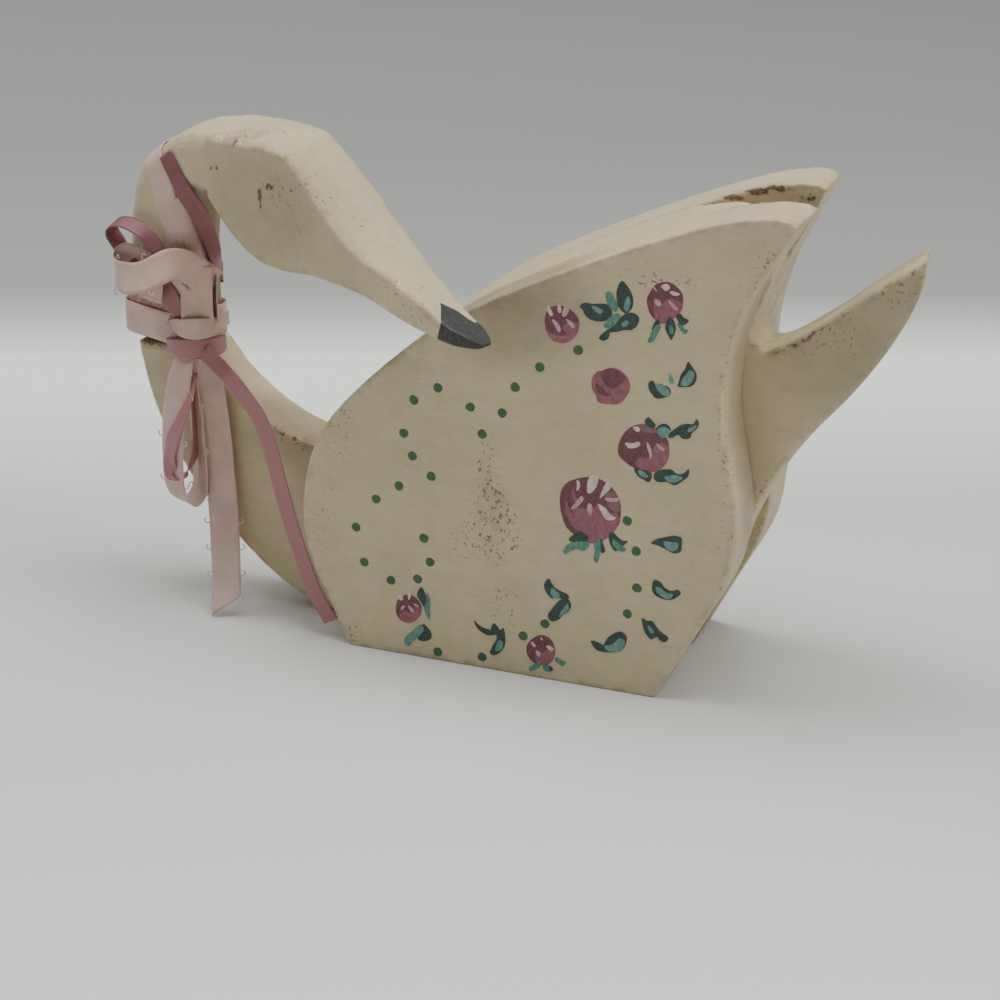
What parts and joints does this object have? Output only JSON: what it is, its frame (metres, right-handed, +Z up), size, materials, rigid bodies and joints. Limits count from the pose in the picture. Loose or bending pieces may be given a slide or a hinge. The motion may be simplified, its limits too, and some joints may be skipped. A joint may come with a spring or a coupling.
{
  "type": "wooden swan figurine",
  "caption": "Cream-painted board-cut wooden swan figurine with folk-painted roses and ribbons round its neck, standing on a flat foot.",
  "frame": {"origin": "middle of the wings' length, on the body board's flat underside, in the plane the figurine stands on", "axes": "+X towards the tail, +Y towards the right wing, +Z up"},
  "size_m": [0.1655, 0.0531, 0.1034],
  "materials": {
    "painted_wood": "satin",
    "pink_picot": "matte",
    "mauve_satin": "satin"
  },
  "bodies": {
    "root": {"body_board": "painted_wood", "left_wing": "painted_wood", "right_wing": "painted_wood", "neck_and_head": "painted_wood", "pink_ribbon": "pink_picot", "mauve_ribbon": "mauve_satin"}
  },
  "joints": []
}
